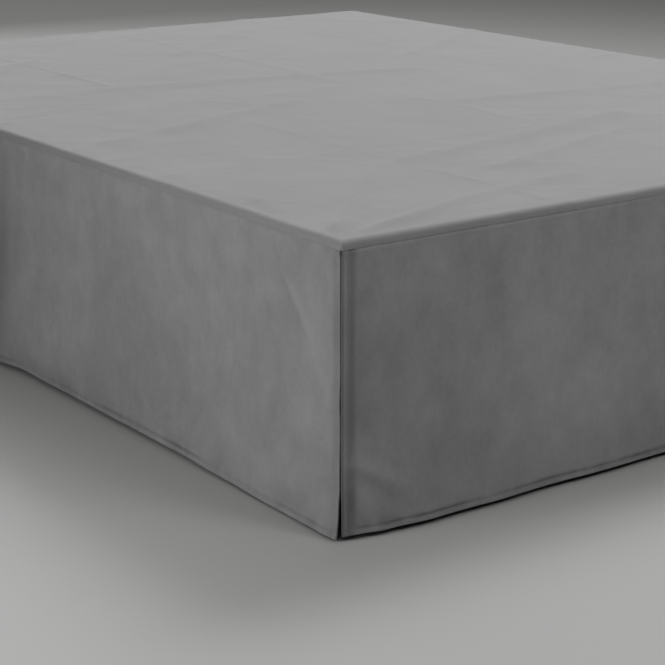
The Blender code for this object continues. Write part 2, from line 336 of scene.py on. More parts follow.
# Where the deck was folded in its pack, as lines at an X and at a Y
DECK_FOLDS_X = (-0.390, 0.010, 0.400)
DECK_FOLDS_Y = (-0.520, 0.020, 0.560)
DECK_FOLD_RISE = 0.0034
DECK_FOLD_REACH = 0.011

# A patch is a soft oval of painted light on the pile, lighter with a positive share and painted shade with
# a negative one; the darker ones at each pleat are the painted shade of its fold.
Patch = namedtuple("Patch", "along height long tall share")

LEFT_PATCHES = (
    Patch(0.130, 0.055, 0.170, 0.045, 0.20),
    Patch(0.070, 0.140, 0.045, 0.060, 0.09),
    Patch(0.000, 0.290, 0.018, 0.060, -0.16),
    Patch(0.570, 0.190, 0.110, 0.110, -0.19),
    Patch(0.780, 0.020, 0.080, 0.020, -0.26),
    Patch(0.974, 0.180, 0.034, 0.170, -0.58),
    Patch(1.028, 0.180, 0.036, 0.170, -0.40),
    Patch(1.450, 0.210, 0.180, 0.090, 0.14),
)
FOOT_PATCHES = (
    Patch(0.004, 0.036, 0.013, 0.040, -0.26),
    Patch(0.070, 0.260, 0.060, 0.060, -0.18),
    Patch(0.310, 0.240, 0.070, 0.060, 0.15),
    Patch(0.400, 0.110, 0.110, 0.080, 0.19),
    Patch(0.180, 0.110, 0.080, 0.055, -0.10),
    Patch(0.820, 0.160, 0.140, 0.090, -0.14),
    Patch(1.180, 0.260, 0.120, 0.070, 0.13),
)
RIGHT_PATCHES = (
    Patch(0.300, 0.150, 0.160, 0.080, 0.12),
    Patch(0.700, 0.250, 0.120, 0.090, -0.12),
    Patch(1.000, 0.200, 0.040, 0.220, -0.36),
    Patch(1.500, 0.120, 0.200, 0.070, 0.14),
)

# A cut is one panel. runs is the way along it and faces is the way out of it.
Cut = namedtuple("Cut", "name pleated length corner runs faces stations creases patches seed")

# What hang() works out for each point of a panel
Hung = namedtuple("Hung", "along out height weight pressed brushed")

FOOT_LEFT_CORNER = Vector((BASE_LOW.x, BASE_LOW.y, 0.0))
FOOT_RIGHT_CORNER = Vector((BASE_HIGH.x, BASE_LOW.y, 0.0))
LEFT_CUT = Cut("panel_left", True, BED_LENGTH, FOOT_LEFT_CORNER, (0, 1, 0), (-1, 0, 0),
               LEFT_STATIONS, LEFT_CREASES, LEFT_PATCHES, 11)
RIGHT_CUT = Cut("panel_right", True, BED_LENGTH, FOOT_RIGHT_CORNER, (0, 1, 0), (1, 0, 0),
                RIGHT_STATIONS, RIGHT_CREASES, RIGHT_PATCHES, 23)
FOOT_CUT = Cut("panel_foot", False, BED_WIDTH, FOOT_LEFT_CORNER, (1, 0, 0), (0, -1, 0),
               FOOT_STATIONS, FOOT_CREASES, FOOT_PATCHES, 37)

# Colours, all neutral greys
VELVET_DARK = (0.197, 0.198, 0.201, 1.0)
VELVET_LIGHT = (0.303, 0.303, 0.306, 1.0)
# Painted shade, partly pressed pile
VELVET_SHADE_PRESSED = (0.095, 0.095, 0.096, 1.0)
# Painted highlight, partly brushed pile
VELVET_HIGHLIGHT_BRUSHED = (0.430, 0.430, 0.433, 1.0)
THREAD_GREY = (0.270, 0.270, 0.273, 1.0)
DECK_WARP = (0.285, 0.285, 0.287, 1.0)
DECK_WEFT = (0.225, 0.225, 0.227, 1.0)
BASE_WARP = (0.044, 0.044, 0.047, 1.0)
BASE_WEFT = (0.020, 0.020, 0.022, 1.0)
GLIDE_BLACK = (0.018, 0.018, 0.018, 1.0)
GLIDE_SCUFF = (0.040, 0.040, 0.040, 1.0)
FLOOR_PALE = (0.420, 0.417, 0.410, 1.0)
FLOOR_DARK = (0.4074, 0.4045, 0.3977, 1.0)
WORLD_PALE = (0.80, 0.80, 0.81, 1.0)
WORLD_STRENGTH = 0.08

# Camera, placed from the foot's left corner of the base
CAMERA_FROM_CORNER = Vector((-1.3098, -1.7936, 0.950))
CAMERA_TURN = 35.8
CAMERA_PITCH = 16.627
CAMERA_LENS = 97.44
CAMERA_SENSOR = 36.0
CAMERA_FAR_END = 200.0
FLOOR_SIZE = 44.0


# ---- cloth maths

def ease(share):
    return share * share * (3.0 - 2.0 * share)


def bell(away, width):
    return np.exp(-(away / width) ** 2)


def ridge(place, shape):
    return shape.rise * bell(place - shape.at, shape.width)


def step_up(place, shape):
    return shape.rise * ease(np.clip((shape.limit - place) / shape.fade, 0.0, 1.0))


def read_stations(stations, along):
    """Hem swing and hem height along a panel, eased from one station to the next."""
    places = np.array([station.along for station in stations])
    outs = np.array([station.hem_out for station in stations])
    heights = np.array([station.hem_height for station in stations])
    low = np.clip(np.searchsorted(places, along) - 1, 0, len(places) - 2)
    share = ease(np.clip((along - places[low]) / (places[low + 1] - places[low]), 0.0, 1.0))
    return (outs[low] + share * (outs[low + 1] - outs[low]),
            heights[low] + share * (heights[low + 1] - heights[low]))


def crease_rise(creases, across, up):
    """The highest soft ridge and the deepest trough at each place, each a bell across its line."""
    crest = np.zeros(np.broadcast(across, up).shape)
    trough = np.zeros(crest.shape)
    for crease in creases:
        run_across = crease.to_along - crease.from_along
        run_up = crease.to_height - crease.from_height
        place_across = across - crease.from_along
        place_up = up - crease.from_height
        share = place_across * run_across + place_up * run_up
        share = np.clip(share / (run_across ** 2 + run_up ** 2), 0.0, 1.0)
        away = np.hypot(place_across - share * run_across, place_up - share * run_up)
        rise = crease.rise * bell(away, crease.width)
        crest = np.maximum(crest, rise)
        trough = np.minimum(trough, rise)
    return crest + trough


def patch_light_and_shade(patches, along, height):
    """Sum of the patches of painted light and shade at each place, each an oval bell."""
    total = np.zeros(along.shape)
    for patch in patches:
        away = np.hypot((along - patch.along) / patch.long, (height - patch.height) / patch.tall)
        total += patch.share * bell(away, 1.0)
    return total


def swing_share(fallen, from_edge):
    """Share of the hem's swing that the cloth has. A free edge hangs plumb and kicks out at the hem."""
    return fallen ** (HANG_POWER + EDGE_POWER * np.exp(-from_edge / EDGE_POWER_REACH))


def ends_past(cut, fallen):
    """How far the first and the last edge of a panel stand past the ends of its side of the base."""
    if cut is FOOT_CUT:
        past = STANDOFF + CLOTH / 2 - FOOT_END_SHORT + FOOT_END_KICK * swing_share(fallen, 0.0)
        return past, past
    gap = CORNER_GAP * (1.0 - fallen ** CORNER_GAP_POWER)
    return STANDOFF + CLOTH / 2 - SIDE_END_DRAW * fallen - gap, np.zeros(fallen.shape)


def uneven(places, length, wave, seed):
    """A smooth uneven line between -1 and 1, with a turn about every wave."""
    count = int(length / wave) + SPARE_KNOTS
    knots = np.random.default_rng(seed).uniform(-1.0, 1.0, count)
    at = np.clip(places / wave + LINE_START, 0.0, count - END_KNOTS)
    low = at.astype(int)
    share = ease(at - low)
    return knots[low] + share * (knots[low + 1] - knots[low])


def uneven_field(across, up, wave, seed):
    """A smooth uneven surface between -1 and 1, with a hill or a hollow about every wave."""
    knots = np.random.default_rng(seed).uniform(-1.0, 1.0, FIELD_SIZE)
    at_x = np.clip(across / wave + FIELD_START, 0.0, FIELD_SIZE[0] - END_KNOTS)
    at_y = np.clip(up / wave + FIELD_START, 0.0, FIELD_SIZE[1] - END_KNOTS)
    low_x, low_y = at_x.astype(int), at_y.astype(int)
    share_x, share_y = ease(at_x - low_x), ease(at_y - low_y)
    near = knots[low_x, low_y] * (1.0 - share_x) + knots[low_x + 1, low_y] * share_x
    far = knots[low_x, low_y + 1] * (1.0 - share_x) + knots[low_x + 1, low_y + 1] * share_x
    return near * (1.0 - share_y) + far * share_y


def wavy(cut, places, wave):
    """An uneven line on a panel."""
    return wave.rise * uneven(places, cut.length, wave.length, cut.seed + wave.seed)


def hilly(cut, across, up, wave):
    """An uneven surface on a panel."""
    return wave.rise * uneven_field(across, up, wave.length, cut.seed + wave.seed)


def hem_line(cut, along):
    """Height of the stitch line over the hem's edge. It wanders a little."""
    return HEM_BAND + wavy(cut, along, LINE_WANDER)


def thread_hold(cut, along):
    """How tight the hem's thread is drawn, from nearly slack to one."""
    return THREAD_TIGHT + wavy(cut, along, THREAD_EASE)


def pucker(cut, along, from_hem):
    """Small puckers slanting off the hem's stitch line, between about -1 and 1."""
    slant = along + PUCKER_SLANT * (from_hem - HEM_BAND)
    pull = wavy(cut, slant, FINE_PUCKER) + wavy(cut, slant, BROAD_PUCKER)
    from_line = from_hem - hem_line(cut, along)
    return pull * np.exp(-np.abs(from_line - PUCKER_LIFT) / PUCKER_REACH)


def hem_relief(cut, along, from_hem, to_edge):
    """Small shapes of the hems: the stitch lines pull in, and the cloth beside them puckers."""
    from_line = from_hem - hem_line(cut, along)
    hold = thread_hold(cut, along)
    relief = (ridge(from_line, THREAD_GROOVE) + ridge(from_line, HEM_SWELL)) * hold
    relief = relief + ridge(from_hem, HEM_LIP) + ridge(to_edge, SIDE_GROOVE)
    relief = relief + PUCKER_RISE * (1.0 + hold) / 2 * pucker(cut, along, from_hem)
    side_pull = wavy(cut, from_hem, SIDE_PUCKER)
    relief = relief + side_pull * np.exp(-np.abs(to_edge - SIDE_BAND) / SIDE_PUCKER_REACH)
    if cut is FOOT_CUT:
        return relief + step_up(to_edge, FOOT_SIDE_STEP) + ridge(to_edge, FOLD_ROLL)
    return relief + step_up(to_edge, LONG_SIDE_STEP)


def pile_shade_and_press(cut, along, from_hem, to_edge):
    """How dark the pile is made, partly pressed pile and partly painted shade: along the stitch line's
    groove, over the side hems, in darker spots just above the hem, and as a painted shadow of the corner's
    gap on the foot panel's cut edge, less dark on its fold lip.
    """
    fade = thread_hold(cut, along) + wavy(cut, along, LINE_FADE)
    line = fade * ridge(from_hem - hem_line(cut, along), LINE_SHADE_PRESS)
    # Darker spots just above the hem
    dark_spots = np.maximum(hilly(cut, along, DARK_SPOT_SQUEEZE * from_hem, DARK_SPOT_WAVE), 0.0)
    line = line + dark_spots * ridge(from_hem, DARK_SPOT_BAND)
    if cut is FOOT_CUT:
        side = step_up(to_edge, FOOT_SIDE_SHADE_PRESS) + ridge(to_edge, FOLD_LIP_LIGHT) + ridge(to_edge, EDGE_GAP_SHADOW)
    else:
        side = step_up(to_edge, LONG_SIDE_SHADE_PRESS)
    return np.clip(np.maximum(line, side), 0.0, 1.0)


def seam_relief(cut, along, from_top):
    """The cloth rolls into the seam under the deck's rim and gathers a little below it."""
    roll = ridge(from_top, SEAM_ROLL) + ridge(from_top, SEAM_TURN)
    pull = wavy(cut, along, FINE_GATHER) + wavy(cut, along, BROAD_GATHER)
    held = np.clip(from_top / GATHER_START, 0.0, 1.0)
    return roll + pull * held * np.exp(-from_top / GATHER_REACH)


def open_relief(cut, along, height, fallen):
    """Slow waves of the open cloth, a little deeper towards the hem, and soft clouds and dimples."""
    slow = wavy(cut, along + SLOW_LEAN * (height - LEAN_HEIGHT), SLOW_ROLL)
    quick = wavy(cut, along + QUICK_LEAN * height, QUICK_ROLL)
    clouds = hilly(cut, along + CLOUD_LEAN * height, height, CLOUDS)
    dimples = hilly(cut, along + DIMPLE_LEAN * height, height, DIMPLES)
    held = np.minimum(fallen / OPEN_HOLD, 1.0)
    return held * ((slow + quick) * (1.0 + fallen) / 2 + clouds + dimples)


def pleat_dip(along, fallen):
    """The cloth rolls in beside the pleat, between the seam and the hem."""
    return PLEAT_DIP * np.sin(np.pi * np.clip(fallen, 0.0, 1.0)) * bell(along - PLEAT_AT, PLEAT_DIP_WIDTH)


def hem_weight(from_hem, to_edge):
    """One where the cloth is doubled by a hem, and nought elsewhere."""
    return np.maximum(step_up(from_hem, HEM_DOUBLE), step_up(to_edge, SIDE_DOUBLE))


def hang(cut, along, depth, height_share):
    """Places of the middle of the cloth, the weight of its hems, and the painted shade and painted
    highlight on its pile, partly pressed and brushed pile.

    depth is the layer's distance from the base at the seam, and height_share runs from the hem to the seam.
    """
    hem_out, hem_height = read_stations(cut.stations, along)
    height = hem_height + height_share * (PANEL_TOP - hem_height)
    fallen = 1.0 - height_share
    first_past, last_past = ends_past(cut, fallen)
    moved = along - first_past * np.maximum(0.0, 1.0 - along / END_REACH)
    moved = moved + last_past * np.maximum(0.0, 1.0 - (cut.length - along) / END_REACH)
    to_edge = np.minimum(moved + first_past, cut.length + last_past - moved)
    from_edge = np.clip(np.minimum(along, cut.length - along), 0.0, None)
    swell = (hem_out - STANDOFF) * swing_share(fallen, from_edge)
    rise = crease_rise(cut.creases, along, height) * np.minimum(fallen / SEAM_HOLD, 1.0)
    swell = swell + rise
    if cut.pleated:
        swell = swell - pleat_dip(along, fallen)
    in_front = np.clip(1.0 - (STANDOFF - depth) / (0.5 * LAYER_STEP), 0.0, 1.0)
    from_hem = height - hem_height
    weight = hem_weight(from_hem, to_edge) * in_front
    small = hem_relief(cut, along, from_hem, to_edge)
    small = small + seam_relief(cut, along, PANEL_TOP - height)
    small = small + open_relief(cut, along, height, fallen)
    small = small - weight * (HEM_CLOTH - CLOTH) / 2
    layer = HIDDEN_SWING + (1.0 - HIDDEN_SWING) * depth / STANDOFF
    out = depth + swell * layer + small * in_front
    # Painted highlight on crease ridges, pucker crests and lighter patches, painted shade in troughs,
    # hollows and darker patches, partly brushed and pressed pile
    painted_light_and_shade = CREASE_HIGHLIGHT_SHADE * rise + patch_light_and_shade(cut.patches, along, height)
    painted_light_and_shade = painted_light_and_shade + PUCKER_HIGHLIGHT_SHADE * pucker(cut, along, from_hem)
    pressed = pile_shade_and_press(cut, along, from_hem, to_edge) * in_front
    pressed = np.clip(pressed + np.maximum(-painted_light_and_shade, 0.0), 0.0, 1.0)
    brushed = np.clip(painted_light_and_shade, 0.0, 1.0)
    return Hung(moved, out, height, weight, pressed, brushed)


def in_world(cut, hung, past=0.0):
    """Places in the frame, as an array of rows of x, y and z, a little past the middle of the cloth."""
    places = np.zeros(hung.along.shape + (3,))
    places += np.array(cut.corner)
    places += hung.along[..., None] * np.array(cut.runs, float)
    places += (hung.out + past)[..., None] * np.array(cut.faces, float)
    places[..., 2] += hung.height
    return places


# ---- routes and steps

def graded_run(start, end, fine, hold, coarse):
    """Places from start to end, closest together at both ends."""
    middle = (start + end) / 2
    places = [start]
    step = fine
    while places[-1] + step < middle:
        places.append(places[-1] + step)
        if places[-1] - start > hold:
            step = min(step * STEP_GROWTH, coarse)
    mirrored = [start + end - place for place in reversed(places)]
    if mirrored[0] - places[-1] < fine:
        mirrored.pop(0)
    return places + mirrored


def turn(centre, way, depth):
    """Half turn of the cloth from one layer to the next one in, bulging towards way."""
    radius = LAYER_STEP / 2
    steps = [math.pi * index / TURN_STEPS for index in range(1, TURN_STEPS)]
    return [(centre + way * radius * math.sin(angle), depth - radius + radius * math.cos(angle))
            for angle in steps]


def straight(start, end, depth, steps):
    return [(start + (end - start) * index / steps, depth) for index in range(steps + 1)]


def route(cut):
    """The cloth's route seen from above, as (along, depth): in front, and into a pleat and out again."""
    if not cut.pleated:
        return [(along, STANDOFF) for along in graded_run(0.0, cut.length, EDGE_STEP, EDGE_HOLD, OPEN_STEP)]
    front, middle, back = STANDOFF, STANDOFF - LAYER_STEP, STANDOFF - 2 * LAYER_STEP
    tuck = PLEAT_AT - PLEAT_TUCK
    half = [(along, front) for along in graded_run(0.0, PLEAT_LIP, EDGE_STEP, EDGE_HOLD, OPEN_STEP)]
    half += turn(PLEAT_LIP, 1, front)
    half += straight(PLEAT_LIP, tuck, middle, PLEAT_LAYER_STEPS)
    half += turn(tuck, -1, middle)
    half += straight(tuck, PLEAT_AT, back, PLEAT_LAYER_STEPS)
    return half + [(cut.length - along, depth) for along, depth in reversed(half[:-1])]


def row_shares():
    """Rows of a panel from the hem to the seam, as shares of its height."""
    drop = PANEL_TOP - FOOT_STATIONS[0].hem_height
    rows = graded_run(0.0, drop, ROW_STEP, ROW_HOLD, OPEN_ROW)
    return np.array(rows) / drop


# ---- mesh helpers

def clear_choice():
    bpy.ops.object.select_all(action="DESELECT")


def choose(piece):
    clear_choice()
    piece.select_set(True)
    bpy.context.view_layer.objects.active = piece


def add_grid(name, columns, rows):
    """A flat grid primitive, with the column and the row that each of its points belongs to."""
    clear_choice()
    bpy.ops.mesh.primitive_grid_add(x_subdivisions=columns - 1, y_subdivisions=rows - 1, size=1.0,
                                    location=(0.0, 0.0, 0.0))
    piece = bpy.context.active_object
    piece.name = name
    flat = np.zeros(len(piece.data.vertices) * 3)
    piece.data.vertices.foreach_get("co", flat)
    flat = flat.reshape(-1, 3)
    column = np.rint((flat[:, 0] + 0.5) * (columns - 1)).astype(int)
    row = np.rint((flat[:, 1] + 0.5) * (rows - 1)).astype(int)
    return piece, column, row


def place_points(piece, places):
    piece.data.vertices.foreach_set("co", places.astype(np.float32).ravel())
    piece.data.update()


def lay_out(piece, across, up):
    """The piece's own map: its flat cloth, in metres."""
    layer = piece.data.uv_layers.active
    layer.name = "flat cloth"
    corners = np.zeros(len(piece.data.loops), dtype=np.int32)
    piece.data.loops.foreach_get("vertex_index", corners)
    flat = np.stack([across[corners], up[corners]], axis=1)
    layer.data.foreach_set("uv", flat.astype(np.float32).ravel())


def paint(piece, name, values):
    """A number on every point that the piece's material reads."""
    layer = piece.data.attributes.new(name, "FLOAT", "POINT")
    layer.data.foreach_set("value", values.astype(np.float32))


def flip(piece):
    choose(piece)
    bpy.ops.object.mode_set(mode="EDIT")
    bpy.ops.mesh.select_all(action="SELECT")
    bpy.ops.mesh.flip_normals()
    bpy.ops.object.mode_set(mode="OBJECT")


def give_thickness(piece, thickness, weights=None, thin=None, rounding=HEM_EDGE_ROUND):
    """Make the sheet a closed cloth, thicker where it is hemmed, and round its cut edges."""
    shell = piece.modifiers.new("cloth thickness", "SOLIDIFY")
    shell.thickness = thickness
    shell.offset = 0.0
    if weights is not None:
        group = piece.vertex_groups.new(name="hem")
        levels = np.rint(weights * HEM_LEVELS).astype(int)
        for level in range(1, HEM_LEVELS + 1):
            chosen = np.nonzero(levels == level)[0].tolist()
            if chosen:
                group.add(chosen, level / HEM_LEVELS, "REPLACE")
        shell.vertex_group = "hem"
        shell.thickness_vertex_group = thin / thickness
    choose(piece)
    bpy.ops.object.modifier_apply(modifier=shell.name)
    edge = piece.modifiers.new("rounded edges", "BEVEL")
    edge.width = rounding
    edge.segments = 2
    edge.limit_method = "ANGLE"
    edge.angle_limit = math.radians(60)
    edge.harden_normals = False
    bpy.ops.object.modifier_apply(modifier=edge.name)
    bpy.ops.object.shade_smooth()


# ---- the skirt's panels

def make_panel(cut, look):
    path = np.array(route(cut))
    shares = row_shares()
    piece, column, row = add_grid(cut.name + "_velvet", len(path), len(shares))
    hung = hang(cut, path[column, 0], path[column, 1], shares[row])
    place_points(piece, in_world(cut, hung))
    run = np.concatenate([[0.0], np.cumsum(np.hypot(*np.diff(path, axis=0).T))])
    lay_out(piece, run[column], hung.height)
    if cut is LEFT_CUT:
        flip(piece)
    # Where the velvet gets painted shade and painted highlight, partly pressed and brushed pile
    paint(piece, "pressed", hung.pressed)
    paint(piece, "brushed", hung.brushed)
    give_thickness(piece, HEM_CLOTH, hung.weight, CLOTH)
    piece.data.materials.append(look)
    return piece


def outer_face(cut, along, from_hem):
    """Places and outward directions on the front of a panel, for what is sewn there."""
    _, hem_height = read_stations(cut.stations, along)
    share = from_hem / (PANEL_TOP - hem_height)
    depth = np.full(along.shape, STANDOFF)

    def place(at, up):
        hung = hang(cut, at, depth, up)
        thickness = CLOTH + hung.weight * (HEM_CLOTH - CLOTH)
        return in_world(cut, hung, thickness / 2)

    small = 0.0008
    here = place(along, share)
    across = place(along + small, share) - place(along - small, share)
    upward = place(along, share + small) - place(along, share - small)
    across /= np.linalg.norm(across, axis=1)[:, None]
    upward /= np.linalg.norm(upward, axis=1)[:, None]
    outward = np.cross(across, upward)
    outward /= np.linalg.norm(outward, axis=1)[:, None]
    facing = np.sign(outward @ np.array(cut.faces, float))
    return here, across, upward, outward * facing[:, None]


def one_stitch():
    """A single low stitch, as its points and faces."""
    clear_choice()
    bpy.ops.mesh.primitive_uv_sphere_add(segments=6, ring_count=4, radius=0.5, location=(0.0, 0.0, 0.0))
    stitch = bpy.context.active_object
    points = np.array([vert.co for vert in stitch.data.vertices])
    faces = [list(face.vertices) for face in stitch.data.polygons]
    bpy.data.objects.remove(stitch, do_unlink=True)
    # The sphere's poles become the stitch's two ends, and its middle is filled out.
    lengthwise = np.sign(points[:, 2]) * np.abs(2 * points[:, 2]) ** STITCH_FULLNESS / 2
    shaped = np.stack([lengthwise * STITCH_LENGTH, points[:, 0] * STITCH_WIDTH,
                       points[:, 1] * STITCH_HEIGHT], axis=1)
    return shaped, faces


def sew(name, rows_of_stitches, look):
    """Join copies of one stitch, each at a place, along a direction and on a face."""
    points, faces = one_stitch()
    all_points, all_faces = [], []
    count = 0
    for places, directions, outward in rows_of_stitches:
        sideways = np.cross(outward, directions)
        for place, ahead, side, up in zip(places, directions, sideways, outward):
            all_points.append(place + points[:, :1] * ahead + points[:, 1:2] * side + points[:, 2:] * up)
            all_faces.extend([[index + count for index in face] for face in faces])
            count += len(points)
    mesh = bpy.data.meshes.new(name)
    mesh.from_pydata(np.concatenate(all_points).tolist(), [], all_faces)
    piece = bpy.data.objects.new(name, mesh)
    bpy.context.scene.collection.objects.link(piece)
    solid = bmesh.new()
    solid.from_mesh(mesh)
    bmesh.ops.recalc_face_normals(solid, faces=solid.faces)
    solid.to_mesh(mesh)
    solid.free()
    for face in mesh.polygons:
        face.use_smooth = True
    mesh.materials.append(look)
    return piece


def hem_stitches(cut, start, end):
    """The stitches along the bottom hem between two places on a panel."""
    along = np.arange(start, end, STITCH_PITCH)
    here, across, _, outward = outer_face(cut, along, hem_line(cut, along))
    return here + outward * STITCH_STANDOFF, across, outward


def side_stitches(cut, at_first):
    """The stitches up a side hem, from the bottom hem to the seam."""
    up = np.arange(SIDE_STITCH_START, PANEL_TOP - SIDE_STITCH_STOP, STITCH_PITCH)
    _, hem_height = read_stations(cut.stations, np.zeros(up.shape))
    fallen = 1.0 - up / (PANEL_TOP - hem_height)
    first_past, last_past = ends_past(cut, fallen)
    if at_first:
        along = SIDE_BAND / (1.0 + first_past / END_REACH)
    else:
        along = cut.length - SIDE_BAND / (1.0 + last_past / END_REACH)
    here, _, upward, outward = outer_face(cut, along, up)
    return here + outward * STITCH_STANDOFF, upward, outward


def panel_stitches(cut, look):
    end = cut.length - HEM_STITCH_CLEAR
    if cut.pleated:
        lines = [hem_stitches(cut, HEM_STITCH_CLEAR, PLEAT_LIP),
                 hem_stitches(cut, cut.length - PLEAT_LIP, end)]
    else:
        lines = [hem_stitches(cut, HEM_STITCH_CLEAR, end)]
    lines += [side_stitches(cut, True), side_stitches(cut, False)]
    return sew(cut.name + "_stitches", lines, look)


# ---- the deck

def rim_reach(turned):
    """Reach of the rim's outline from a corner's inner point, round a small corner."""
    square = DECK_ROLL - DECK_CORNER
    cos, sin = np.cos(turned), np.sin(turned)
    both = square * (cos + sin)
    rounded = both + np.sqrt(np.maximum(both ** 2 - 2 * square ** 2 + DECK_CORNER ** 2, 0.0))
    tiny = 1e-6
    flat_x = DECK_ROLL / np.maximum(cos, tiny)
    flat_y = DECK_ROLL / np.maximum(sin, tiny)
    reach = np.where(flat_x * sin <= square, flat_x, rounded)
    return np.where(flat_y * cos <= square, flat_y, reach)


def deck_wave(places, wave):
    """An uneven line on the deck."""
    return wave.rise * uneven(places + DECK_SHIFT, DECK_RUN, wave.length, wave.seed)


def fold_lift(from_fold, along_fold, wave):
    """The low ridge of a fold line, higher at some places and lower at others."""
    share = FOLD_TIGHT + deck_wave(along_fold, wave)
    return DECK_FOLD_RISE * share * np.exp(-np.abs(from_fold) / DECK_FOLD_REACH)


def rim_pucker(along_rim, from_rim, wave):
    """Puckers that run in from the rim."""
    pull = np.maximum(deck_wave(along_rim, wave), 0.0)
    return pull * np.exp(-np.maximum(from_rim, 0.0) / RIM_PULL_REACH)


def deck_lift(across, down):
    """How far the deck's cloth stands off the base: creases, fold lines, slow waves, puckers at the rim."""
    to_side, to_foot = DECK_SIDE - np.abs(across), down - DECK_FOOT
    lift = crease_rise(DECK_CREASES, across, down)
    for at in DECK_FOLDS_X:
        lift = np.maximum(lift, fold_lift(across - at, down, FOLD_X_EASE))
    for at in DECK_FOLDS_Y:
        lift = np.maximum(lift, fold_lift(down - at, across, FOLD_Y_EASE))
    for wave, squeeze in ((DECK_SWELL, SWELL_SQUEEZE), (DECK_RIPPLE, 1.0)):
        hills = uneven_field(across + HILL_SHIFT, squeeze * down + HILL_SHIFT, wave.length, wave.seed)
        lift = lift + wave.rise * (1.0 + hills)
    held = ease(np.clip(to_side / RIM_HOLD, 0.0, 1.0)) * ease(np.clip(to_foot / RIM_HOLD, 0.0, 1.0))
    pull = rim_pucker(down, to_side, SIDE_PULL) + rim_pucker(across, to_foot, FOOT_PULL)
    return lift * held + pull * np.clip(np.minimum(to_side, to_foot) / RIM_PULL_START, 0.0, 1.0)


def deck_places(across, down):
    """Fold the flat deck cloth over the rim on both sides and at the foot, and lay it on the base."""
    past_side = np.maximum(np.abs(across) - DECK_SIDE, 0.0)
    past_foot = np.maximum(DECK_FOOT - down, 0.0)
    past = np.maximum(past_side, past_foot)
    quarter = math.pi / 4
    with np.errstate(divide="ignore", invalid="ignore"):
        turned = np.where(past_side >= past_foot, quarter * past_foot / past_side,
                          2 * quarter - quarter * past_side / past_foot)
    turned = np.nan_to_num(turned)
    angle = np.minimum(past / DECK_ROLL, math.pi / 2)
    reach = rim_reach(turned) * np.sin(angle)
    fall = DECK_ROLL * (1.0 - np.cos(angle)) + np.maximum(past - DECK_ROLL * math.pi / 2, 0.0)
    x = np.clip(across, -DECK_SIDE, DECK_SIDE) + np.sign(across) * reach * np.cos(turned) * (past > 0)
    y = np.maximum(down, DECK_FOOT) - reach * np.sin(turned) * (past > 0)
    top = BASE_TOP + DECK_GAP + DECK_CLOTH / 2
    return np.stack([x, y, top - fall + deck_lift(across, down)], axis=1)


def with_folds(places, folds):
    """The same places with closer ones at each fold line."""
    kept = [place for place in places if min(abs(place - fold) for fold in folds) > DECK_FOLD_CLEAR]
    return np.array(sorted(kept + [fold + step for fold in folds for step in DECK_FOLD_STEPS]))


def make_deck(look):
    """The flat top of the skirt, with a rolled rim on three sides and a hem at the head."""
    fall = BASE_TOP + DECK_GAP + DECK_CLOTH / 2 - DECK_BOTTOM
    rim = DECK_ROLL * math.pi / 2 + fall - DECK_ROLL
    columns = graded_run(-DECK_SIDE - rim, DECK_SIDE + rim, DECK_STEP, DECK_HOLD, DECK_OPEN_STEP)
    rows = graded_run(DECK_FOOT - rim, BASE_HIGH.y, DECK_STEP, DECK_HOLD, DECK_OPEN_STEP)
    columns, rows = with_folds(columns, DECK_FOLDS_X), with_folds(rows, DECK_FOLDS_Y)
    piece, column, row = add_grid("deck_cloth", len(columns), len(rows))
    across, down = columns[column], rows[row]
    places = deck_places(across, down)
    weight = step_up(BASE_HIGH.y - down, DECK_HEM_DOUBLE)
    places[:, 2] += weight * DECK_CLOTH / 2
    place_points(piece, places)
    lay_out(piece, across, down)
    give_thickness(piece, 2 * DECK_CLOTH, weight, DECK_CLOTH, rounding=DECK_EDGE_ROUND)
    piece.data.materials.append(look)
    return piece


def deck_stitches(look):
    across = np.arange(-BED_WIDTH / 2, BED_WIDTH / 2, STITCH_PITCH)
    down = np.full(across.shape, BASE_HIGH.y - DECK_HEM_BAND)
    places = deck_places(across, down)
    places[:, 2] += DECK_CLOTH + STITCH_STANDOFF
    directions = np.zeros(places.shape)
    directions[:, 0] = 1.0
    upward = np.zeros(places.shape)
    upward[:, 2] = 1.0
    return sew("deck_stitches", [(places, directions, upward)], look)


# ---- finishes

def start_finish(name, roughness, sheen=0.0, sheen_roughness=0.5):
    made = bpy.data.materials.new(name)
    made.use_nodes = True
    shader = made.node_tree.nodes["Principled BSDF"]
    shader.inputs["Roughness"].default_value = roughness
    shader.inputs["Sheen Weight"].default_value = sheen
    shader.inputs["Sheen Roughness"].default_value = sheen_roughness
    return made, made.node_tree, shader


def put(tree, kind, **settings):
    node = tree.nodes.new(kind)
    for name, value in settings.items():
        setattr(node, name, value)
    return node


def scaled_place(tree, source, scale=(1.0, 1.0, 1.0)):
    """Object places, or the flat cloth's, scaled to a pattern."""
    if source == "flat cloth":
        place = put(tree, "ShaderNodeUVMap", uv_map="flat cloth").outputs["UV"]
    else:
        place = put(tree, "ShaderNodeTexCoord").outputs["Object"]
    mapping = put(tree, "ShaderNodeMapping")
    mapping.inputs["Scale"].default_value = scale
    tree.links.new(place, mapping.inputs["Vector"])
    return mapping.outputs["Vector"]


def noise(tree, source, scale, detail, roughness=0.5):
    texture = put(tree, "ShaderNodeTexNoise")
    texture.inputs["Scale"].default_value = 1.0
    texture.inputs["Detail"].default_value = detail
    texture.inputs["Roughness"].default_value = roughness
    tree.links.new(scaled_place(tree, source, scale), texture.inputs["Vector"])
    return texture.outputs["Fac"]


def maths(tree, operation, first, second=None, third=None, clamp=False):
    node = put(tree, "ShaderNodeMath", operation=operation, use_clamp=clamp)
    for index, value in enumerate((first, second, third)):
        if value is None:
            continue
        if isinstance(value, (int, float)):
            node.inputs[index].default_value = value
        else:
            tree.links.new(value, node.inputs[index])
    return node.outputs["Value"]


